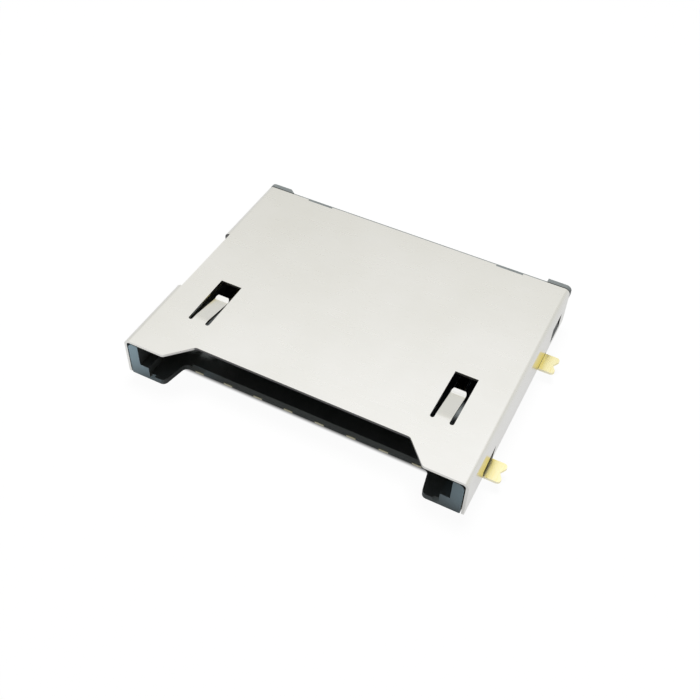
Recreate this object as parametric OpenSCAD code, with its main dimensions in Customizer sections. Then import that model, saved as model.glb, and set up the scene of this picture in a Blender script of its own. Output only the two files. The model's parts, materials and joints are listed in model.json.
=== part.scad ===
// Short-body push-pull socket for a full-size memory card, for surface mounting.
// A folded sheet shell latches over a moulded base that holds the spring contacts.
// X runs across the card, +Y is the way the card goes in, Z = 0 is the board.
// Places along the depth are measured from the front edge of the shell.

/* [Card slot] */
// Width of the slot between the side walls
slot_w = 24.2; // [23.6:0.1:25]
// Height from the ledge, where the card's thin rails run, to the shell
slot_h = 1.9; // [1.7:0.05:2.2]
// Width of the ledge under each rail
ledge_w = 0.72; // [0.5:0.02:0.9]
// Step from the floor up to the ledge
ledge_rise = 0.75; // [0.6:0.05:0.9]
// Size of the block that fills the card's cut-off corner
corner_block = 3.5; // [2.5:0.1:4]

/* [Shell] */
// Thickness of the sheet
sheet_t = 0.2; // [0.15:0.01:0.25]
// Depth of the shell from front to rear
shell_d = 20.3; // [19.5:0.1:24]
// Radius outside the two long bends
shell_bend_r = 0.45; // [0.35:0.05:0.6]
// Gap between the shell and the base
shell_gap = 0.08; // [0.02:0.01:0.12]
// Gap between the side walls of the shell and the board
shell_lift = 0.05; // [0:0.01:0.15]
// Depth of the thumb notch in the front edge
notch_d = 1.75; // [1:0.05:2]
// Width of the thumb notch at its back
notch_w = 16.6; // [14:0.1:18]
// How far each side of the thumb notch slants outwards
notch_slant = 1.65; // [1:0.05:2]
// Radius of the corners of the thumb notch
notch_r = 0.4; // [0.2:0.05:0.6]

/* [Hold-down tongues] */
// Distance between the two tongues
tongue_pitch = 19.1; // [16:0.1:20]
// Width of a tongue
tongue_w = 1.1; // [0.8:0.05:1.4]
// Width of the slot at each side of a tongue
tongue_slot = 0.32; // [0.2:0.02:0.45]
// Where the tongues are rooted
tongue_root_y = 4.1; // [3:0.1:5]
// Length of a tongue, seen from above
tongue_l = 3.3; // [2.8:0.1:4]
// Open space behind the free end of a tongue
tongue_space = 1.1; // [0.6:0.1:1.5]
// How far a tongue dips below the sheet
tongue_drop = 0.5; // [0.3:0.05:0.7]
// Length of the curled tip
tongue_curl = 0.34; // [0.3:0.02:0.6]
// How far the curled tip rises again
tongue_rise = 0.2; // [0.1:0.05:0.3]

/* [Base] */
// Thickness of the floor
floor_t = 0.45; // [0.4:0.05:0.6]
// Thickness of the side walls
wall_t = 0.82; // [0.8:0.01:1]
// Thickness of the rear wall
rear_wall_t = 1.25; // [1.2:0.05:1.5]
// How far the rear wall stands out behind the shell
rear_lip = 0.4; // [0.1:0.05:0.5]
// How far the two rear corners stand out behind the shell
rear_bump = 0.46; // [0.42:0.02:0.7]
// Width of each rear corner block
rear_bump_w = 1.9; // [1.4:0.1:2.4]
// Height of the part of a rear corner that is flush with the shell
rear_cap_h = 0.8; // [0.5:0.05:1.2]
// Radius of the two lower edges
base_foot_r = 0.1; // [0.05:0.05:0.3]
// Depth of the cut-out in the front of the floor
recess_d = 2.15; // [1.8:0.05:2.6]
// Width of the cut-out in the floor at its back
recess_w = 19.5; // [17:0.1:19.6]
// How far each side of that cut-out slants outwards
recess_slant = 0.4; // [0.3:0.05:0.8]
// Radius of the inner corners of that cut-out
recess_r = 0.5; // [0.4:0.05:0.8]
// Lead-in chamfer on the front edge of the floor
floor_lip = 0.2; // [0.1:0.05:0.3]
// Diameter of the locating peg on the left
peg_left_dia = 1.1; // [0.8:0.1:1.4]
// Diameter of the locating peg on the right
peg_right_dia = 1.5; // [0.8:0.1:1.6]
// Length of the pegs below the board's face
peg_l = 0.9; // [0.6:0.1:1.4]
// Distance of the pegs from the sides of the base
peg_inset = 1.32; // [1:0.01:1.6]
// Where the pegs stand
peg_y = 1.7; // [1.2:0.1:2.2]

/* [Contacts] */
// Thickness of the contact strip
contact_t = 0.15; // [0.1:0.01:0.2]
// Width of a contact where it lies in the floor
contact_w = 0.7; // [0.5:0.05:0.8]
// Width of a contact at its free end
contact_tip_w = 0.45; // [0.3:0.05:0.5]
// Pitch of the six middle contacts
contact_pitch = 2.5; // [2.4:0.05:2.6]
// Place of the first contact
contact_1_x = 6.375; // [6:0.025:6.6]
// Step from the sixth to the seventh contact
contact_7_step = 2.425; // [2.2:0.025:2.6]
// Step from the seventh to the eighth contact
contact_8_step = 1.7; // [1.5:0.05:1.8]
// Distance of the bumps from the wall that stops the card
pad_reach = 3.3; // [3:0.1:4]
// Length of the spring beams up to their bumps
beam_l = 7.8; // [6.5:0.1:9]
// Height of the bumps above the ledge
bump_rise = 0.4; // [0.3:0.05:0.6]
// Radius of the bumps
bump_r = 0.5; // [0.4:0.05:0.7]
// Length of the tip behind the bump
tip_l = 1.1; // [0.8:0.1:1.3]
// How far the tip falls behind the bump
tip_fall = 0.55; // [0.4:0.05:0.7]
// How far the solder tails stand out of the floor's front edge
tail_out = 0.02; // [0:0.01:0.3]
// Room at each side of a beam in its window
window_gap = 0.18; // [0.1:0.02:0.25]

/* [Switches] */
// Height of the switch blades
blade_h = 1; // [0.7:0.05:1.1]
// Height of the lower edge of the blades above the ledge
blade_lift = 0.3; // [0.2:0.05:0.5]
// Length of the end of a blade that is held in the wall
anchor_l = 1.2; // [1:0.1:1.4]
// Depth of a spring blade in the wall that holds it
spring_v = 0.3; // [0.25:0.01:0.35]
// Depth of a fixed blade in the wall that holds it
fixed_v = 0.6; // [0.55:0.01:0.65]
// How far the write-protect spring reaches into the slot
write_protect_reach = 0.35; // [0.2:0.05:0.5]
// Distance of the card-detect switch from the left side of the slot
card_detect_inset = 2.7; // [2:0.1:8]
// Length that the card-detect spring spans
card_detect_span = 6.2; // [5:0.1:7]
// How far the card-detect spring reaches into the slot
card_detect_reach = 0.7; // [0.4:0.05:0.9]
// Width of a switch's solder foot
foot_w = 0.8; // [0.6:0.05:0.9]
// How far a switch's solder foot stands out
foot_out = 0.6; // [0.4:0.05:0.8]

/* [Solder tabs] */
// Thickness of a tab
tab_t = 0.2; // [0.15:0.01:0.25]
// Width of the foot of a tab
tab_w = 1.7; // [1.4:0.05:2]
// Width of the upright part that is held in the base
tab_leg_w = 1.3; // [1:0.05:1.4]
// Height of the upright part
tab_leg_h = 1.9; // [1.4:0.1:2.2]
// Depth of the upright part in the side of the base
tab_inset = 0.3; // [0.1:0.05:0.35]
// How far the foot stands out from the shell
tab_out = 1.2; // [0.8:0.05:1.4]
// Depth of the notch in the end of the foot
tab_notch = 0.3; // [0.2:0.05:0.4]
// Width of that notch where it opens
tab_notch_w = 1; // [0.6:0.05:1.1]
// Middle of the front tabs
tab_front_y = 4.2; // [3.9:0.05:4.6]
// Distance of the middle of the rear tabs from the rear edge
tab_rear_inset = 5; // [4.7:0.05:5.8]

/* [Shell cut-outs] */
// Height of the slit that each foot leaves through
slit_h = 0.32; // [0.3:0.02:0.5]
// Height of the slits of the front tabs at their front end
slit_front_h = 0.75; // [0.3:0.05:1]
// How much higher those slits are at their rear end than the other slits
slit_rise = 0.9; // [0.3:0.05:1.2]
// How far those slits run on behind the tab
slit_more = 0.25; // [0:0.05:0.3]
// Length of the latch windows in the side walls
latch_l = 2; // [1.4:0.1:2.2]
// Height of the latch windows
latch_h = 1.4; // [0.8:0.1:1.5]
// Lower edge of the latch windows above the board
latch_z = 0.55; // [0.4:0.05:0.7]
// Distance of the middle of the latch windows from the rear edge
latch_inset = 2.3; // [2:0.1:3]
// How far the cut at the write-protect switch goes in past the side wall
side_cut = 0.46; // [0.3:0.02:0.5]
// How far that cut runs on behind the switch
side_cut_more = 0.45; // [0:0.05:0.6]
// Height left below the cut at the write-protect switch
side_cut_z = 0.9; // [0.6:0.1:1.2]
// Width of the two notches in the rear edge
rear_notch_w = 2.2; // [1.5:0.1:3]
// Depth of those notches
rear_notch_d = 0.15; // [0.1:0.05:0.4]
// Distance between them
rear_notch_pitch = 16.6; // [12:0.1:19]

/* [Hidden] */
$fn = 48;

// Colours
nickel = [0.86, 0.86, 0.83];
slate = [0.13, 0.15, 0.17];
gold = [0.93, 0.82, 0.45];

// Small room round the strips that are pressed into the base
fit_gap = 0.02;
// Room round the feet and latches where they pass the shell
pass_gap = 0.12;
// Overshoot of a cut past a face
over = 0.5;
// Steps in an arc of an outline
arc_steps = 6;

// Heights
ledge_z = floor_t + ledge_rise;
shell_under_z = ledge_z + slot_h;
shell_top_z = shell_under_z + sheet_t;
base_top_z = shell_under_z - shell_gap;
bump_z = ledge_z + bump_rise;
blade_z = ledge_z + blade_lift;

// Widths
slot_x = slot_w / 2;
card_detect_x = card_detect_inset - slot_x;
ledge_x = slot_x - ledge_w;
base_x = slot_x + wall_t;
shell_in_x = base_x + shell_gap;
shell_x = shell_in_x + sheet_t;

// Depths
base_d = shell_d + rear_lip;
stop_y = base_d - rear_wall_t;
mid_y = shell_d / 2;
tab_rear_y = shell_d - tab_rear_inset;
latch_y = shell_d - latch_inset;

// Contact places, from the first contact to the ninth
contact_6_x = contact_1_x - 5 * contact_pitch;
contact_7_x = contact_6_x - contact_7_step;
contact_x = [
    for (i = [0 : 5]) contact_1_x - i * contact_pitch,
    contact_7_x,
    contact_7_x - contact_8_step,
    contact_1_x + contact_pitch
];
bump_y = stop_y - pad_reach;
beam_y = bump_y - beam_l;
beam_end_y = bump_y + tip_l;
tail_y = recess_d - tail_out;
beam_bend_r = 3;
// The window starts a little before the beam's bend and ends behind its tip
window_y0 = beam_y - 0.4;
window_y1 = beam_end_y + 0.6;

// Switch blades, seen along a wall: u runs along it and v goes out through it
blade_t = contact_t;
blade_bend_r = 0.35;
// The foot's bend is tight, so that it clears the corner of its groove
foot_bend_r = (blade_t + fit_gap) / 2;
apex_share = 0.55;
tip_gap = 0.5;
tip_v = 0.1;
finger_l = 2.4;
rear_skin = 0.45;
// The write-protect switch fills the wall between the two tabs
tab_to_switch = 0.35;
write_protect_y = tab_front_y + tab_w / 2 + tab_to_switch;
write_protect_span = tab_rear_y - tab_w / 2 - tab_to_switch - write_protect_y - 2 * anchor_l;

// Solder tabs and latches
tab_bend_r = 0.25;
prong_r = 0.28;
latch_out = shell_gap + sheet_t;

// Direction from one point to another
function dir(a, b) = (b - a) / norm(b - a);

// Arc that rounds the corner b of the path a, b, c
function corner(a, b, c, r) =
    let (
        u = dir(b, a),
        v = dir(b, c),
        half = acos(u * v) / 2,
        centre = b + dir([0, 0], u + v) * r / sin(half),
        start = b + u * r / tan(half) - centre,
        end = b + v * r / tan(half) - centre,
        a0 = atan2(start.y, start.x),
        turn = (atan2(end.y, end.x) - a0 + 540) % 360 - 180
    )
    [for (i = [0 : arc_steps]) let (a = a0 + turn * i / arc_steps) centre + r * [cos(a), sin(a)]];

// Path with each inner corner rounded by its own radius
function round_path(p, radii) = concat(
    [p[0]],
    [for (i = [1 : len(p) - 2]) each corner(p[i - 1], p[i], p[i + 1], radii[i - 1])],
    [p[len(p) - 1]]
);

// Tangent of a path at one of its points
function tangent(p, i) =
    i == 0 ? dir(p[0], p[1])
    : i == len(p) - 1 ? dir(p[i - 1], p[i])
    : dir([0, 0], dir(p[i - 1], p[i]) + dir(p[i], p[i + 1]));

// One side of a strip that follows a path at half its thickness
function strip_side(p, half) = [
    for (i = [0 : len(p) - 1])
        let (
            t = tangent(p, i),
            step = i == 0 ? t : dir(p[i - 1], p[i])
        )
        p[i] + half / (t * step) * [-t.y, t.x]
];

function reversed(p) = [for (i = [len(p) - 1 : -1 : 0]) p[i]];

// Outline of a bent strip of thickness t
function strip(p, t) = concat(strip_side(p, t / 2), reversed(strip_side(p, -t / 2)));

// Moves front-edge places into the part's frame
module place() {
    translate([0, -mid_y, 0]) children();
}

// Draws its children on the right and mirrored on the left
module both_sides() {
    children();
    mirror([1, 0, 0]) children();
}

// Stands an outline drawn in X and Z along Y, from y0 to y1
module along_y(y0, y1) {
    translate([0, y1, 0]) rotate([90, 0, 0]) linear_extrude(y1 - y0) children();
}

// Stands an outline drawn in Y and Z along X, from x0 to x1
module along_x(x0, x1) {
    translate([x0, 0, 0]) rotate([90, 0, 90]) linear_extrude(x1 - x0) children();
}

// Block between two corners
module block(low, high) {
    translate(low) cube(high - low);
}

// Section with round upper corners, and round lower ones where low_r is given
module arched(half_w, low_z, high_z, r, low_r = 0) {
    translate([-half_w, low_z + low_r]) square([2 * half_w, high_z - low_z - low_r - r]);
    translate([r - half_w, low_z + low_r]) square([2 * (half_w - r), high_z - low_z - low_r]);
    for (side = [-1, 1]) translate([side * (half_w - r), high_z - r]) circle(r);
    if (low_r > 0) {
        translate([low_r - half_w, low_z]) square([2 * (half_w - low_r), 2 * low_r]);
        for (side = [-1, 1]) translate([side * (half_w - low_r), low_z + low_r]) circle(low_r);
    }
}

// Front cut-out with slanting sides, as an outline seen from above
module front_cut(back_w, slant, depth, back_r, front_r) {
    back_x = back_w / 2;
    front_x = back_x + slant;
    end_x = front_x + 2 * front_r;
    edge = round_path(
        [[-end_x, 0], [-front_x, 0], [-back_x, depth], [back_x, depth], [front_x, 0], [end_x, 0]],
        [front_r, back_r, back_r, front_r]
    );
    polygon(concat(edge, [[end_x, -over], [-end_x, -over]]));
}

// Shell: opening for one tongue, seen from above
module tongue_window() {
    open_w = tongue_w + 2 * tongue_slot;
    translate([-open_w / 2, tongue_root_y]) square([open_w, tongue_l + tongue_space]);
    for (side = [-1, 1])
        translate([side * (tongue_w + tongue_slot) / 2, tongue_root_y]) circle(tongue_slot / 2);
}

// Shell: tongue that dips to hold the card down, with a curled tip
module tongue() {
    mid_z = shell_under_z + sheet_t / 2;
    low_z = mid_z - tongue_drop;
    end_y = tongue_root_y + tongue_l;
    root_flat = 0.35;
    root_r = 3;
    curl_r = 0.4;
    tip_r = 0.3;
    profile = round_path(
        [
            [tongue_root_y, mid_z], [tongue_root_y + root_flat, mid_z],
            [end_y - tongue_curl, low_z], [end_y, low_z + tongue_rise]
        ],
        [root_r, curl_r]
    );
    intersection() {
        along_x(-tongue_w / 2, tongue_w / 2) polygon(strip(profile, sheet_t));
        linear_extrude(shell_top_z + over) {
            translate([-tongue_w / 2, tongue_root_y]) square([tongue_w, tongue_l - tip_r]);
            translate([tip_r - tongue_w / 2, tongue_root_y]) square([tongue_w - 2 * tip_r, tongue_l]);
            for (side = [-1, 1]) translate([side * (tongue_w / 2 - tip_r), end_y - tip_r]) circle(tip_r);
        }
    }
}

// Shell: slit in the lower edge of the right side wall where a foot leaves
module foot_slit(y, w) {
    block([shell_in_x - over, y - w / 2 - pass_gap, -over], [shell_x + over, y + w / 2 + pass_gap, slit_h]);
}

// Shell: slit for a front tab, whose upper edge slants up to the rear
module slanting_slit(y, w) {
    front_y = y - w / 2 - pass_gap;
    rear_y = y + w / 2 + pass_gap;
    along_x(shell_in_x - over, shell_x + over)
        polygon([
            [front_y, -over], [rear_y, -over], [rear_y, slit_h],
            [rear_y + slit_more, slit_h + slit_rise], [front_y, slit_front_h]
        ]);
}

module shell() {
    switch_y0 = write_protect_y + anchor_l;
    switch_y1 = switch_y0 + write_protect_span;
    color(nickel) place() {
        difference() {
            along_y(0, shell_d) difference() {
                arched(shell_x, shell_lift, shell_top_z, shell_bend_r);
                arched(shell_in_x, shell_lift - over, shell_under_z, shell_bend_r - sheet_t);
            }
            translate([0, 0, shell_under_z - over]) linear_extrude(sheet_t + 2 * over) {
                front_cut(notch_w, notch_slant, notch_d, notch_r, notch_r);
                for (side = [-1, 1]) translate([side * tongue_pitch / 2, 0]) tongue_window();
                for (side = [-1, 1])
                    translate([side * rear_notch_pitch / 2 - rear_notch_w / 2, shell_d - rear_notch_d])
                        square([rear_notch_w, rear_notch_d + over]);
            }
            both_sides() {
                slanting_slit(tab_front_y, tab_w);
                foot_slit(tab_rear_y, tab_w);
                block(
                    [shell_in_x - over, latch_y - latch_l / 2, latch_z],
                    [shell_x + over, latch_y + latch_l / 2, latch_z + latch_h]
                );
            }
            mirror([1, 0, 0]) {
                foot_slit(write_protect_y + foot_w / 2, foot_w);
                foot_slit(switch_y1 + anchor_l - foot_w / 2, foot_w);
                block(
                    [shell_x - side_cut, switch_y0, side_cut_z],
                    [shell_x + over, switch_y1 + side_cut_more, shell_top_z + over]
                );
            }
        }
        for (side = [-1, 1]) translate([side * tongue_pitch / 2, 0, 0]) tongue();
    }
}

// Base: outer section, round at all four edges
module base_section() {
    arched(base_x, 0, base_top_z, shell_bend_r, base_foot_r);
}

// Base: trough with a ledge along each side for the card's rails
module trough() {
    along_y(0, base_d) difference() {
        base_section();
        translate([-ledge_x, floor_t]) square([2 * ledge_x, base_top_z]);
        translate([-slot_x, ledge_z]) square([2 * slot_x, base_top_z]);
    }
}

// Base: corner that stands out behind the shell and is flush with it at the top,
// with a slanting or a square inner end
module rear_corner(slant) {
    out_x = base_x - shell_bend_r;
    in_x = shell_x - rear_bump_w;
    front_y = shell_d + shell_gap;
    rear_y = shell_d + rear_bump;
    linear_extrude(base_top_z)
        polygon([[in_x - slant, front_y], [out_x, front_y], [out_x, rear_y], [in_x, rear_y]]);
    intersection() {
        along_y(front_y, rear_y) arched(shell_x, 0, shell_top_z, shell_bend_r);
        translate([0, 0, shell_top_z - rear_cap_h]) linear_extrude(rear_cap_h)
            polygon([[in_x - slant, front_y], [shell_x, front_y], [shell_x, rear_y], [in_x, rear_y]]);
    }
}

// Base: rear wall with the block for the card's cut-off corner
module rear_wall() {
    along_y(stop_y, base_d) base_section();
    linear_extrude(base_top_z)
        polygon([[slot_x, stop_y - corner_block], [slot_x, stop_y], [slot_x - corner_block, stop_y]]);
    rear_corner(0);
    mirror([1, 0, 0]) rear_corner(rear_bump);
}

// Base: wedge that snaps into a latch window of the shell
module latch() {
    in_x = base_x - wall_t / 2;
    low_z = latch_z + pass_gap;
    high_z = latch_z + latch_h - pass_gap;
    along_y(latch_y - latch_l / 2 + pass_gap, latch_y + latch_l / 2 - pass_gap)
        polygon([[in_x, low_z], [base_x + latch_out, low_z], [base_x, high_z], [in_x, high_z]]);
}

// Base: locating peg under the floor
module peg(x, dia) {
    translate([x, peg_y, -peg_l]) cylinder(d = dia, h = peg_l + floor_t);
}

// Base: groove and window that one contact lies and moves in
module contact_room() {
    groove_x = contact_w / 2 + fit_gap;
    window_x = contact_w / 2 + window_gap;
    block([-groove_x, tail_y - fit_gap, -over], [groove_x, beam_y, contact_t]);
    block([-window_x, window_y0, -over], [window_x, window_y1, bump_z + over]);
}

// Base: lead-in chamfer on the front edge of the floor, from x0 to x1
module lead_in(x0, x1, y) {
    low_z = floor_t - floor_lip;
    along_x(x0, x1)
        polygon([[y - over, low_z - over], [y + floor_lip + over, floor_t + over], [y - over, floor_t + over]]);
}

// Base: pocket for a solder tab in the right wall
module tab_pocket(y) {
    deep_x = base_x - tab_inset - tab_t - fit_gap;
    leg = tab_leg_w / 2 + fit_gap;
    foot = tab_w / 2 + fit_gap;
    block([deep_x, y - leg, -over], [base_x + over, y + leg, tab_leg_h + fit_gap]);
    block([deep_x, y - foot, -over], [base_x + over, y + foot, slit_h]);
}

// Base: slit that holds a switch blade at v, from u0 to u1, with the groove for its foot
module blade_slit(u0, u1, v, foot_u, wall) {
    half = blade_t / 2 + fit_gap;
    block([u0 - fit_gap, v - half, -over], [u1 + fit_gap, v + half, base_top_z + over]);
    block([foot_u - fit_gap, v - half, -over], [foot_u + foot_w + fit_gap, wall + over, blade_t + fit_gap]);
}

// Base: room for a switch that spans a recess in a wall
module switch_room(span, wall, recess_v) {
    far_u = 2 * anchor_l + span;
    blade_slit(0, anchor_l, spring_v, 0, wall);
    blade_slit(far_u - anchor_l, far_u, fixed_v, far_u - foot_w, wall);
    block([anchor_l, -over, ledge_z], [anchor_l + span, recess_v, base_top_z + over]);
}

// Puts a switch drawn along u and v into the left wall or the rear wall
module in_left_wall() {
    translate([-slot_x, write_protect_y, 0]) rotate([0, 0, 90]) children();
}

module in_rear_wall() {
    translate([card_detect_x, stop_y, 0]) children();
}

module base_housing() {
    peg_x = base_x - peg_inset;
    leg_x = recess_w / 2 + recess_slant + 2 * notch_r;
    color(slate) place() difference() {
        union() {
            trough();
            rear_wall();
            both_sides() latch();
            peg(-peg_x, peg_left_dia);
            peg(peg_x, peg_right_dia);
        }
        linear_extrude(floor_t + over) front_cut(recess_w, recess_slant, recess_d, recess_r, notch_r);
        lead_in(recess_r - recess_w / 2, recess_w / 2 - recess_r, recess_d);
        both_sides() lead_in(leg_x, ledge_x, 0);
        for (x = contact_x) translate([x, 0, 0]) contact_room();
        both_sides() {
            tab_pocket(tab_front_y);
            tab_pocket(tab_rear_y);
        }
        in_left_wall() switch_room(write_protect_span, wall_t, wall_t + over);
        in_rear_wall() switch_room(card_detect_span, rear_wall_t, rear_wall_t - rear_skin);
    }
}

// Spring contact: tail and strip in the floor, then a tapered beam that rises to a round bump
module contact(i) {
    mid_z = contact_t / 2;
    root_x = contact_w / 2;
    tip_x = contact_tip_w / 2;
    path = round_path(
        [[tail_y, mid_z], [beam_y, mid_z], [bump_y, bump_z], [beam_end_y, bump_z - tip_fall]],
        [beam_bend_r, bump_r]
    );
    color(gold) place() translate([contact_x[i - 1], 0, 0]) intersection() {
        along_x(-root_x, root_x) polygon(strip(path, contact_t));
        translate([0, 0, -over]) linear_extrude(bump_z + 2 * over)
            polygon([
                [-root_x, tail_y - over], [root_x, tail_y - over], [root_x, beam_y],
                [tip_x, beam_end_y + over], [-tip_x, beam_end_y + over], [-root_x, beam_y]
            ]);
    }
}

// Switch: leg down through the wall with a solder foot that turns outwards
module blade_leg(foot_u, v, out_v) {
    path = round_path([[v, blade_z], [v, blade_t / 2], [out_v, blade_t / 2]], [foot_bend_r]);
    along_x(foot_u, foot_u + foot_w) polygon(strip(path, blade_t));
}

// Switch: blade that bows into the slot
module switch_spring(span, reach, out_v) {
    apex_u = anchor_l + apex_share * span;
    end_u = anchor_l + span - tip_gap;
    path = round_path(
        [[0, spring_v], [anchor_l, spring_v], [apex_u, -reach], [end_u, tip_v]],
        [blade_bend_r, 2 * blade_bend_r]
    );
    translate([0, 0, blade_z]) linear_extrude(blade_h) polygon(strip(path, blade_t));
    blade_leg(0, spring_v, out_v);
}

// Switch: fixed finger that the spring is pushed against
module switch_contact(span, out_v) {
    far_u = 2 * anchor_l + span;
    block(
        [far_u - anchor_l - finger_l, fixed_v - blade_t / 2, blade_z],
        [far_u, fixed_v + blade_t / 2, blade_z + blade_h]
    );
    blade_leg(far_u - foot_w, fixed_v, out_v);
}

module write_protect_spring() {
    color(gold) place() in_left_wall()
        switch_spring(write_protect_span, write_protect_reach, shell_x - slot_x + foot_out);
}

module write_protect_contact() {
    color(gold) place() in_left_wall()
        switch_contact(write_protect_span, shell_x - slot_x + foot_out);
}

module card_detect_spring() {
    color(gold) place() in_rear_wall()
        switch_spring(card_detect_span, card_detect_reach, rear_wall_t + foot_out);
}

module card_detect_contact() {
    color(gold) place() in_rear_wall()
        switch_contact(card_detect_span, rear_wall_t + foot_out);
}

// Solder tab: outline of the foot, with two round prongs and a notch between them
module tab_foot(end_x) {
    in_x = base_x - tab_inset - tab_t;
    difference() {
        union() {
            translate([in_x, -tab_w / 2]) square([end_x - prong_r - in_x, tab_w]);
            translate([in_x, prong_r - tab_w / 2]) square([end_x - in_x, tab_w - 2 * prong_r]);
            for (side = [-1, 1]) translate([end_x - prong_r, side * (tab_w / 2 - prong_r)]) circle(prong_r);
        }
        polygon([[end_x - tab_notch, 0], [end_x + tab_notch, -tab_notch_w], [end_x + tab_notch, tab_notch_w]]);
    }
}

// Solder tab: upright part in the base, foot out through the shell
module solder_tab(y) {
    leg_x = base_x - tab_inset - tab_t / 2;
    end_x = shell_x + tab_out;
    path = round_path([[leg_x, tab_leg_h], [leg_x, tab_t / 2], [end_x, tab_t / 2]], [tab_bend_r]);
    color(gold) translate([0, y, 0]) intersection() {
        along_y(-tab_w / 2, tab_w / 2) polygon(strip(path, tab_t));
        union() {
            block([base_x - tab_inset - tab_t, -tab_leg_w / 2, 0], [base_x, tab_leg_w / 2, tab_leg_h]);
            linear_extrude(slit_h) tab_foot(end_x);
        }
    }
}

module solder_tab_right(y) {
    place() solder_tab(y);
}

module solder_tab_left(y) {
    place() mirror([1, 0, 0]) solder_tab(y);
}

shell();
base_housing();
for (i = [1 : len(contact_x)])
    contact(i);
write_protect_spring();
write_protect_contact();
card_detect_spring();
card_detect_contact();
solder_tab_left(tab_front_y);  // solder_tab_left_front
solder_tab_left(tab_rear_y);  // solder_tab_left_rear
solder_tab_right(tab_front_y);  // solder_tab_right_front
solder_tab_right(tab_rear_y);  // solder_tab_right_rear
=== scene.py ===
# %% [markdown]
# A memory card socket for a circuit board, dressed for a product picture.
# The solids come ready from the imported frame: a folded sheet shell, a dark moulded base,
# gold spring contacts, two little switches and four solder tabs. Everything below is in
# metres and in the same frame as those solids, so nothing has to be fitted by eye.
# We load the frame first and keep its box, because the dressed part has to stay inside it.

# %% Load the socket
import json
import math

import bpy
from mathutils import Matrix, Vector


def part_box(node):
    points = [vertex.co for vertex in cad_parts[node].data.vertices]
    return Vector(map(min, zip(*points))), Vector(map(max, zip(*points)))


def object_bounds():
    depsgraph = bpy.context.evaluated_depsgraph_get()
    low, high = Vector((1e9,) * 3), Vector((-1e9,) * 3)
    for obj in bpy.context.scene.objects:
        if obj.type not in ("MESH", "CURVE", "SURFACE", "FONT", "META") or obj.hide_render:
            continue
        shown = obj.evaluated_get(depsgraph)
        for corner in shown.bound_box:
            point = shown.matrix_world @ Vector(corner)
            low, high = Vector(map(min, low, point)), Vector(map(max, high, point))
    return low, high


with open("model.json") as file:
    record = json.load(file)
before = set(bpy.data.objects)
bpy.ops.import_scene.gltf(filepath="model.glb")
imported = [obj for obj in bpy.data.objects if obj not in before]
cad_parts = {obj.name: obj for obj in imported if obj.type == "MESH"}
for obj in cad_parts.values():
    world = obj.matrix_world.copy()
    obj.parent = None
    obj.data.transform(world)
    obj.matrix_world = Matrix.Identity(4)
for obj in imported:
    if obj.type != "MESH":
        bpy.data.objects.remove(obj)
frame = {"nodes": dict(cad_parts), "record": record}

MM = 0.001
scene = bpy.context.scene
nodes = frame["nodes"]
cad_low, cad_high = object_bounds()
print("solids:", len(nodes), "box in mm:", [round(c / MM, 2) for c in cad_high - cad_low])

# %% [markdown]
# The camera. The photograph looks down on the front right corner, from close by, so the far
# edge of the shell is clearly shorter than the near one. A camera can be placed by hand until
# the edges agree, but here its place was solved from the corners of the shell, which gives an
# angle, a height, a distance and a focal length in pixels. A slight roll is part of that.

# %% View of the photograph
PHOTO_PX = 700
FOCAL_PX = 945.0
VIEW_AZIMUTH = math.radians(25.21)
VIEW_ELEVATION = math.radians(46.94)
VIEW_ROLL = math.radians(2.57)
VIEW_DISTANCE = 69.18 * MM
LOOK_RIGHT = 0.61 * MM
LOOK_IN = 8.28 * MM
LOOK_UP = 1.5 * MM
shell_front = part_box("shell")[0].y
look_at = Vector((LOOK_RIGHT, shell_front + LOOK_IN, LOOK_UP))


def camera_axes():
    """Right, up and backward directions of the photograph's camera."""
    back = Vector((
        math.sin(VIEW_AZIMUTH) * math.cos(VIEW_ELEVATION),
        -math.cos(VIEW_AZIMUTH) * math.cos(VIEW_ELEVATION),
        math.sin(VIEW_ELEVATION),
    ))
    right = Vector((0, 0, 1)).cross(back).normalized()
    up = back.cross(right)
    rolled_right = right * math.cos(VIEW_ROLL) + up * math.sin(VIEW_ROLL)
    rolled_up = up * math.cos(VIEW_ROLL) - right * math.sin(VIEW_ROLL)
    return rolled_right, rolled_up, back


print("looks at mm:", [round(c / MM, 2) for c in look_at])

# %% Camera
SENSOR_MM = 36.0
CLIP_NEAR = 1 * MM
CLIP_FAR = 10.0


def add_camera():
    right, up, back = camera_axes()
    data = bpy.data.cameras.new("photo_camera")
    data.sensor_width = SENSOR_MM
    data.lens = FOCAL_PX * SENSOR_MM / PHOTO_PX
    data.clip_start = CLIP_NEAR
    data.clip_end = CLIP_FAR
    camera = bpy.data.objects.new("photo_camera", data)
    turn = Matrix((right, up, back)).transposed().to_4x4()
    camera.matrix_world = Matrix.Translation(look_at + back * VIEW_DISTANCE) @ turn
    scene.collection.objects.link(camera)
    scene.camera = camera
    return camera


camera = add_camera()
print("camera in mm:", [round(c / MM, 1) for c in camera.location], "lens:", round(camera.data.lens, 2))

# %% [markdown]
# Small helpers for shader trees. Each finish below is a Principled shader with a few texture
# nodes in front of it. Such a tree can be drawn by hand in the shader editor, but links that
# are written by name keep every finish short enough to read. The first two helpers make a
# material and a node. The next four give noise, a colour over a value, a range and a bump.


# %% Materials and nodes
def new_finish(name):
    """A fresh node material, with its node tree and its Principled shader."""
    material = bpy.data.materials.new(name)
    material.use_nodes = True
    tree = material.node_tree
    return material, tree, tree.nodes["Principled BSDF"]


def add_node(tree, kind, **inputs):
    """A node of that kind with some of its input sockets set."""
    node = tree.nodes.new(kind)
    for socket, value in inputs.items():
        node.inputs[socket.replace("_", " ")].default_value = value
    return node


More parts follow.
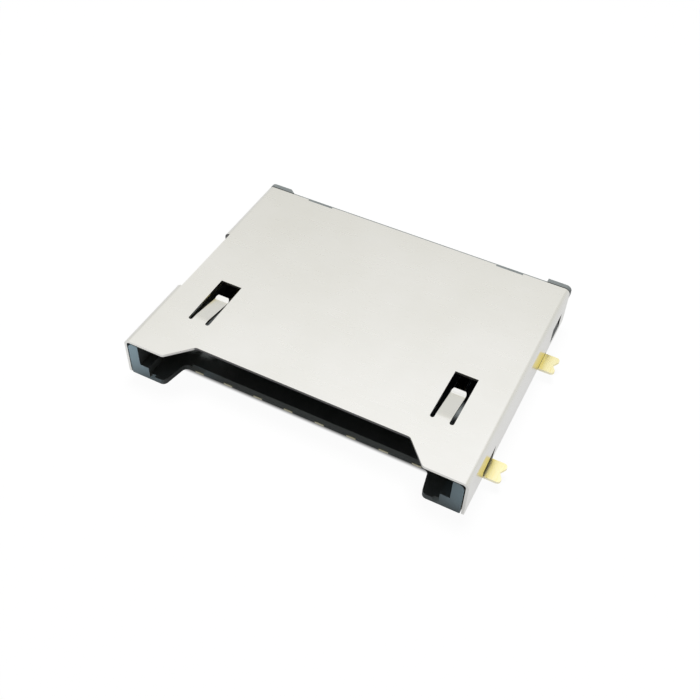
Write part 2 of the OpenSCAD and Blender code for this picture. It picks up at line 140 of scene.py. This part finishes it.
# %% Noise, colour, range and bump
def noise(tree, cells_per_m, stretch=(1.0, 1.0, 1.0), detail=3.0):
    """Noise in object space, stretched along an axis by a small factor there."""
    place = tree.nodes.new("ShaderNodeTexCoord")
    mapping = add_node(tree, "ShaderNodeMapping", Scale=stretch)
    texture = add_node(tree, "ShaderNodeTexNoise", Scale=cells_per_m, Detail=detail)
    tree.links.new(place.outputs["Object"], mapping.inputs["Vector"])
    tree.links.new(mapping.outputs["Vector"], texture.inputs["Vector"])
    return texture.outputs["Fac"]


def ramp(tree, source, stops):
    """Colour ramp over a value, from (position, colour) pairs."""
    node = tree.nodes.new("ShaderNodeValToRGB")
    elements = node.color_ramp.elements
    while len(elements) < len(stops):
        elements.new(0.5)
    for element, (position, colour) in zip(elements, stops):
        element.position = position
        element.color = (*colour, 1.0)
    tree.links.new(source, node.inputs["Fac"])
    return node.outputs["Color"]


def spread(tree, source, low, high):
    """Maps a value from 0..1 to low..high."""
    node = add_node(tree, "ShaderNodeMapRange", To_Min=low, To_Max=high)
    tree.links.new(source, node.inputs["Value"])
    return node.outputs["Result"]


def bump(tree, source, depth, strength):
    """Bump normal from a height in 0..1, with its depth in metres."""
    node = add_node(tree, "ShaderNodeBump", Distance=depth, Strength=strength)
    tree.links.new(source, node.inputs["Height"])
    return node.outputs["Normal"]


# %% [markdown]
# The shell is thin steel strip with a satin nickel plate. Nickel is a little warm, and strip
# keeps faint lines from the rolling mill. A flat grey would look like paper here, so the
# finish is a full metal whose roughness wanders along the rolling lines and whose colour has
# slow, faint clouds. The edge of the thumb notch is coloured dark as painted shade, darker
# than the front ends of the walls, and made rougher. It is found as a face that looks to the
# front but lies behind the front. The side that faces down, over the card, is coloured dark
# as painted shade too. Both are picked out by the direction of the surface, so one material
# serves the whole sheet.


# %% Values and axes
def combine(tree, operation, first, second):
    """Math node over two values, each a socket or a number."""
    node = tree.nodes.new("ShaderNodeMath")
    node.operation = operation
    for socket, value in zip(node.inputs, (first, second)):
        if isinstance(value, (int, float)):
            socket.default_value = value
        else:
            tree.links.new(value, socket)
    return node.outputs["Value"]


def axes_of(tree, kind, vector):
    """The X, Y and Z of a vector that a node of that kind gives."""
    source = tree.nodes.new(kind)
    split = tree.nodes.new("ShaderNodeSeparateXYZ")
    tree.links.new(source.outputs[vector], split.inputs["Vector"])
    return split.outputs


# %% Picking out one side
def facing(tree, axis, start, full):
    """0 to 1 while the normal's part along an axis goes from start to full."""
    share = add_node(tree, "ShaderNodeMapRange", From_Min=start, From_Max=full)
    normal = axes_of(tree, "ShaderNodeNewGeometry", "True Normal")
    tree.links.new(normal[axis], share.inputs["Value"])
    return share.outputs["Result"]


def fade(tree, share, colour, other):
    """Fades a colour to another one by a share from 0 to 1."""
    mix = tree.nodes.new("ShaderNodeMix")
    mix.data_type = "RGBA"
    mix.inputs["B"].default_value = (*other, 1.0)
    tree.links.new(share, mix.inputs["Factor"])
    tree.links.new(colour, mix.inputs["A"])
    return mix.outputs["Result"]


def rougher(tree, share, roughness, other):
    """Raises a roughness to another one by a share from 0 to 1."""
    return combine(tree, "MAXIMUM", roughness, spread(tree, share, 0.0, other))


# %% Nickel sheet
NICKEL_LIGHT = (0.87, 0.865, 0.845)
NICKEL_DARK = (0.84, 0.835, 0.805)
NICKEL_ROUGHNESS = (0.25, 0.32)
CLOUDS_PER_M = 220.0
LINES_PER_M = 9000.0
LINE_STRETCH = (0.05, 1.0, 1.0)
LINE_DEPTH = 0.002 * MM
LINE_BUMP = 0.08
# Painted shade: the notch edge is coloured dark to stand for the shade it lies in
NOTCH_PAINTED_SHADE = (0.16, 0.16, 0.165)
NOTCH_ROUGHNESS = 0.5
NOTCH_FACING = (-0.7, -0.85)
NOTCH_START = 0.3 * MM
# Painted shade: the side of the sheet that faces down is coloured dark, so the space under the shell
# stays dark
UNDERSIDE_PAINTED_SHADE = (0.07, 0.07, 0.075)
UNDERSIDE_SHADE_FACING = (-0.3, -0.7)


def notch_edge(tree):
    """1 on faces of the shell that look to the front but lie behind its front ends, where shade is
    painted.
    """
    front = min(vertex.co.y for vertex in nodes["shell"].data.vertices)
    place = axes_of(tree, "ShaderNodeTexCoord", "Object")
    behind = combine(tree, "GREATER_THAN", place["Y"], front + NOTCH_START)
    return combine(tree, "MULTIPLY", facing(tree, "Y", *NOTCH_FACING), behind)


def nickel_sheet():
    material, tree, shader = new_finish("nickel_sheet")
    lines = noise(tree, LINES_PER_M, LINE_STRETCH)
    clouds = noise(tree, CLOUDS_PER_M)
    plate = ramp(tree, clouds, [(0.3, NICKEL_DARK), (0.7, NICKEL_LIGHT)])
    cut = notch_edge(tree)
    underside_shade = facing(tree, "Z", *UNDERSIDE_SHADE_FACING)
    # The colour paints shade on the notch edge and on the side that faces down
    colour = fade(tree, underside_shade, fade(tree, cut, plate, NOTCH_PAINTED_SHADE), UNDERSIDE_PAINTED_SHADE)
    roughness = rougher(tree, cut, spread(tree, lines, *NICKEL_ROUGHNESS), NOTCH_ROUGHNESS)
    shader.inputs["Metallic"].default_value = 1.0
    tree.links.new(colour, shader.inputs["Base Color"])
    tree.links.new(roughness, shader.inputs["Roughness"])
    tree.links.new(bump(tree, lines, LINE_DEPTH, LINE_BUMP), shader.inputs["Normal"])
    return material


nickel = nickel_sheet()
print("nickel sheet:", len(nickel.node_tree.nodes), "nodes")

# %% [markdown]
# The base is a glass-filled plastic that stands the heat of soldering, moulded in a dark slate
# grey. Its faces are fine matte from the mould. Two noises do the work: a slow one wanders
# between a deeper and a paler slate, the way the melt flowed, and a very fine one roughens the
# gloss and lifts the grain. The colour stays nearly neutral, and cool lamps add the blue.

# %% Housing plastic
SLATE_DEEP = (0.165, 0.18, 0.181)
SLATE_PALE = (0.213, 0.231, 0.231)
PLASTIC_IOR = 1.45
PLASTIC_SHEEN = (0.9, 0.97, 1.0, 1.0)
PLASTIC_ROUGHNESS = (0.38, 0.52)
FLOW_PER_M = 500.0
FLOW_STRETCH = (1.0, 0.4, 1.0)
GRAIN_PER_M = 26000.0
GRAIN_DETAIL = 4.0
GRAIN_DEPTH = 0.006 * MM
GRAIN_BUMP = 0.35


def housing_plastic():
    material, tree, shader = new_finish("housing_plastic")
    grain = noise(tree, GRAIN_PER_M, detail=GRAIN_DETAIL)
    flow = noise(tree, FLOW_PER_M, FLOW_STRETCH)
    colour = ramp(tree, flow, [(0.3, SLATE_DEEP), (0.75, SLATE_PALE)])
    shader.inputs["IOR"].default_value = PLASTIC_IOR
    shader.inputs["Specular Tint"].default_value = PLASTIC_SHEEN
    tree.links.new(colour, shader.inputs["Base Color"])
    tree.links.new(spread(tree, grain, *PLASTIC_ROUGHNESS), shader.inputs["Roughness"])
    tree.links.new(bump(tree, grain, GRAIN_DEPTH, GRAIN_BUMP), shader.inputs["Normal"])
    return material


plastic = housing_plastic()
print("housing plastic:", len(plastic.node_tree.nodes), "nodes")

# %% [markdown]
# Contacts, switches and solder tabs are stamped from a springy copper alloy and plated with a
# thin bright gold. Thin gold over nickel is paler than a ring or a coin, so the colour is a
# light yellow, and the stamping leaves fine streaks along the strip. Strip is often plated
# before it is cut, so the cut ends that face the front are paler and much duller. The same
# function makes the plating with and without such ends.

# %% Gold plating
GOLD_PALE = (1.0, 0.94, 0.60)
GOLD_DEEP = (0.97, 0.87, 0.47)
GOLD_ROUGHNESS = (0.18, 0.30)
STREAKS_PER_M = 6000.0
STREAK_STRETCH = (1.0, 0.15, 1.0)
STREAK_DEPTH = 0.002 * MM
STREAK_BUMP = 0.2
CUT_PALE = (0.95, 0.91, 0.72)
CUT_ROUGHNESS = 0.55
CUT_FACING = (-0.6, -0.9)


def gold_plating(name, cut_ends=False):
    material, tree, shader = new_finish(name)
    streaks = noise(tree, STREAKS_PER_M, STREAK_STRETCH)
    colour = ramp(tree, streaks, [(0.3, GOLD_DEEP), (0.6, GOLD_PALE)])
    roughness = spread(tree, streaks, *GOLD_ROUGHNESS)
    if cut_ends:
        cut = facing(tree, "Y", *CUT_FACING)
        colour = fade(tree, cut, colour, CUT_PALE)
        roughness = rougher(tree, cut, roughness, CUT_ROUGHNESS)
    shader.inputs["Metallic"].default_value = 1.0
    tree.links.new(colour, shader.inputs["Base Color"])
    tree.links.new(roughness, shader.inputs["Roughness"])
    tree.links.new(bump(tree, streaks, STREAK_DEPTH, STREAK_BUMP), shader.inputs["Normal"])
    return material


gold = gold_plating("gold_plating")
cut_gold = gold_plating("gold_cut_ends", cut_ends=True)
print("gold plating:", len(gold.node_tree.nodes), "nodes, with cut ends:", len(cut_gold.node_tree.nodes))

# %% [markdown]
# Every solid names its finish in the record, so one loop can dress them all. It could be done
# solid by solid, but then a new contact would stay bare until somebody noticed. Contacts and
# solder tabs end in a cut, so they take the gold that has one.

# %% Dress the solids
CUT_PIECES = ("contact_", "solder_tab_")
finishes = {"nickel_sheet": nickel, "housing_plastic": plastic, "gold_plating": gold}
slot_of = {row["node"]: row["material_slot"] for row in frame["record"]["subparts"]}
for name, solid in nodes.items():
    finish = cut_gold if name.startswith(CUT_PIECES) else finishes[slot_of[name]]
    solid.data.materials.clear()
    solid.data.materials.append(finish)
print("dressed:", {slot: sum(s == slot for s in slot_of.values()) for slot in finishes})

# %% [markdown]
# The studio is a white sweep. It has to be white in the picture without flooding the socket
# with light, so its material asks each ray where it comes from. A ray straight from the eye
# mostly meets a plain white glow, and the rest is white paint, which keeps a soft shadow. A ray
# mirrored by metal meets a weaker glow that fades towards the front of the socket, as the table
# does close to anything that stands on it. A ray that has been mirrored twice, such as from the
# side wall to a solder tab, meets a golden glow, which gives the warm patches beside the tabs.
# All other rays meet grey paint, and no part of the floor glows under the socket, so the
# contacts' windows stay dark.

# %% Where a ray comes from
# Depths count whole bounces, so the limits lie halfway between two counts
NO_DIFFUSE_BOUNCE = 0.5
ONE_MIRROR_BOUNCE = 1.5


def eye_rays(tree):
    """Three values that are 1 for rays from the eye: straight, mirrored and mirrored twice."""
    path = tree.nodes.new("ShaderNodeLightPath").outputs
    straight = combine(tree, "MAXIMUM", path["Is Camera Ray"], path["Is Transmission Ray"])
    direct = combine(tree, "LESS_THAN", path["Diffuse Depth"], NO_DIFFUSE_BOUNCE)
    mirrored = combine(tree, "MULTIPLY", path["Is Glossy Ray"], direct)
    twice = combine(tree, "GREATER_THAN", path["Glossy Depth"], ONE_MIRROR_BOUNCE)
    return straight, mirrored, twice


# %% Footprint of the socket
FOOT_SIDE_INSET = 0.5 * MM
FOOT_FRONT_INSET = 2.8 * MM
FOOT_REAR_INSET = 1.0 * MM
base_low, base_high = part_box("base_housing")
foot_low = Vector((base_low.x + FOOT_SIDE_INSET, base_low.y + FOOT_FRONT_INSET))
foot_high = Vector((base_high.x - FOOT_SIDE_INSET, base_high.y - FOOT_REAR_INSET))


def outside_footprint(tree, softness):
    """0 on the floor under the socket, 1 around it, with a soft edge in X and one in Y."""
    half = (foot_high - foot_low) / 2
    place = axes_of(tree, "ShaderNodeTexCoord", "Object")
    past = []
    for axis, reach, soft in zip("XY", half, softness):
        away = combine(tree, "ABSOLUTE", place[axis], 0.0)
        edge = add_node(tree, "ShaderNodeMapRange", From_Min=reach, From_Max=reach + soft)
        tree.links.new(away, edge.inputs["Value"])
        past.append(edge.outputs["Result"])
    return combine(tree, "MAXIMUM", *past)


print("footprint in mm:", [round(c / MM, 2) for c in foot_high - foot_low])

# %% White sweep
WHITE = (1.0, 1.0, 1.0)
SWEEP_WHITE = (0.95, 0.95, 0.95)
SWEEP_GREY = (0.16, 0.16, 0.16)
ECHO_GOLD = (0.86, 0.77, 0.36)
SEEN_GLOW = 0.96
SEEN_EDGE = (0.3 * MM, 0.3 * MM)
FAR_GLOW = 1.0
FAR_EDGE = (60 * MM, 60 * MM)
MIRROR_GLOW = 0.77
MIRROR_EDGE = (0.3 * MM, 7.0 * MM)


def mix_by(tree, share, first, second, output):
    """Mixes two shaders by a share and links the result to the output node."""
    mix = tree.nodes.new("ShaderNodeMixShader")
    tree.links.new(share, mix.inputs["Fac"])
    tree.links.new(first, mix.inputs[1])
    tree.links.new(second, mix.inputs[2])
    tree.links.new(mix.outputs["Shader"], tree.nodes[output].inputs["Surface"])


def white_sweep():
    material, tree, shader = new_finish("white_sweep")
    tree.nodes.remove(shader)
    straight, mirrored, twice = eye_rays(tree)
    paint = tree.nodes.new("ShaderNodeBsdfDiffuse")
    paint_colour = ramp(tree, straight, [(0.0, SWEEP_GREY), (1.0, SWEEP_WHITE)])
    tree.links.new(paint_colour, paint.inputs["Color"])
    glow = add_node(tree, "ShaderNodeEmission", Strength=1.0)
    glow_colour = ramp(tree, twice, [(0.0, WHITE), (1.0, ECHO_GOLD)])
    tree.links.new(glow_colour, glow.inputs["Color"])
    share = 0.0
    for rays, strength, softness in (
        (straight, SEEN_GLOW, SEEN_EDGE),
        (straight, FAR_GLOW, FAR_EDGE),
        (mirrored, MIRROR_GLOW, MIRROR_EDGE),
    ):
        part = combine(tree, "MULTIPLY", rays, outside_footprint(tree, softness))
        share = combine(tree, "MAXIMUM", share, combine(tree, "MULTIPLY", part, strength))
    mix_by(tree, share, paint.outputs["BSDF"], glow.outputs["Emission"], "Material Output")
    return material


sweep = white_sweep()
print("white sweep:", len(sweep.node_tree.nodes), "nodes")

# %% Floor
FLOOR_SIZE = 2.0


def add_floor():
    mesh = bpy.data.meshes.new("floor")
    half = FLOOR_SIZE / 2
    corners = [(-half, -half, 0), (half, -half, 0), (half, half, 0), (-half, half, 0)]
    mesh.from_pydata(corners, [], [(0, 1, 2, 3)])
    mesh.materials.append(sweep)
    floor = bpy.data.objects.new("floor", mesh)
    middle = (foot_low + foot_high) / 2
    floor.location = (middle.x, middle.y, cad_low.z)
    scene.collection.objects.link(floor)
    return floor


floor = add_floor()
print("floor at mm:", round(floor.location.z / MM, 2))

# %% [markdown]
# The sky of the studio. A satin sheet shows whatever is above it, so most of the picture is
# made by the sky. A picture of a studio could be wrapped around the scene, but a ramp over the
# height of a ray is enough here: a bright band high up, dimmer and a little warmer lower down.
# That is why the near end of the shell is whiter than the far end, and why the curled tips of
# the tongues flash white. Straight overhead it is dimmer again, so that the sheet keeps its
# grey seen from above. Only mirrored rays meet the full sky, and the rest meet a faint fill.

# %% Studio sky
SKY_STRENGTH = 1.42
SKY_FILL = 0.05
SKY = [
    (0.0, (0.58, 0.58, 0.57)),
    (0.5, (0.55, 0.55, 0.53)),
    (0.6, (0.485, 0.475, 0.43)),
    (0.68, (0.67, 0.666, 0.643)),
    (0.79, (0.8, 0.8, 0.797)),
    (0.87, (0.86, 0.86, 0.86)),
    (0.95, (0.68, 0.68, 0.68)),
    (1.0, (0.62, 0.62, 0.62)),
]


def studio_sky():
    world = bpy.data.worlds.new("studio_sky")
    world.use_nodes = True
    tree = world.node_tree
    straight, mirrored, twice = eye_rays(tree)
    height = axes_of(tree, "ShaderNodeTexCoord", "Generated")["Z"]
    echo = [part / SKY_STRENGTH for part in ECHO_GOLD]
    colour = fade(tree, twice, ramp(tree, height, SKY), echo)
    strength = spread(tree, mirrored, SKY_FILL * SKY_STRENGTH, SKY_STRENGTH)
    sky = tree.nodes["Background"]
    tree.links.new(colour, sky.inputs["Color"])
    tree.links.new(strength, sky.inputs["Strength"])
    white = add_node(tree, "ShaderNodeBackground", Color=(*WHITE, 1.0), Strength=1.0)
    mix_by(tree, straight, sky.outputs["Background"], white.outputs["Background"], "World Output")
    scene.world = world
    return world


world = studio_sky()
print("sky:", len(world.node_tree.nodes), "nodes")

# %% [markdown]
# The lamps. Plastic is too matte to show the sky, so lamps light it. One hangs over the socket.
# Two narrow cool ones, low at the front left, each bring out one leg of the base and leave the
# edge between the legs in shadow. One wide strip could light both legs, but it would light that
# edge as well. All three are left out of reflections, or they would burn white spots into the
# metal.

# %% Overhead lamp
OVERHEAD_PLACE = Vector((-10, 25, 205)) * MM
OVERHEAD_SIZE = 70 * MM
OVERHEAD_WATTS = 0.52


def add_lamp(data, place, target, watts):
    """Hangs a lamp at a place, turned to a target and left out of reflections."""
    data.energy = watts
    lamp = bpy.data.objects.new(data.name, data)
    lamp.location = place
    lamp.rotation_euler = (target - place).to_track_quat("-Z", "Y").to_euler()
    lamp.visible_glossy = False
    scene.collection.objects.link(lamp)


overhead = bpy.data.lights.new("overhead_lamp", "AREA")
overhead.size = OVERHEAD_SIZE
add_lamp(overhead, OVERHEAD_PLACE, look_at, OVERHEAD_WATTS)
print("overhead lamp:", OVERHEAD_WATTS, "W at", round(OVERHEAD_PLACE.z / MM), "mm")

# %% Leg lamps
LEG_LAMP_PLACE = Vector((-90, -90, 2)) * MM
LEG_LAMP_RADIUS = 1 * MM
LEG_LAMP_COLOUR = (0.6, 0.84, 1.0)
LEFT_HEIGHT = 2.7 * MM
RIGHT_HEIGHT = 2.0 * MM
RIGHT_OUTSET = 0.5 * MM
# Name, point aimed at, width of the beam there and watts
LEG_LAMPS = [
    ("left_leg_lamp", Vector((base_low.x, base_low.y, LEFT_HEIGHT)), 7.0 * MM, 0.75),
    ("right_leg_lamp", Vector((base_high.x + RIGHT_OUTSET, base_low.y, RIGHT_HEIGHT)), 5.0 * MM, 0.62),
]


def add_leg_lamp(name, target, beam, watts):
    """Narrow lamp whose beam is that wide where it lands."""
    data = bpy.data.lights.new(name, "SPOT")
    data.spot_size = 2 * math.atan(beam / 2 / (target - LEG_LAMP_PLACE).length)
    data.spot_blend = 1.0
    data.shadow_soft_size = LEG_LAMP_RADIUS
    data.color = LEG_LAMP_COLOUR
    add_lamp(data, LEG_LAMP_PLACE, target, watts)


for row in LEG_LAMPS:
    add_leg_lamp(*row)

# %% [markdown]
# Last, the colours are shown as they are, without a film look.

# %% Colour view
scene.view_settings.view_transform = "Standard"
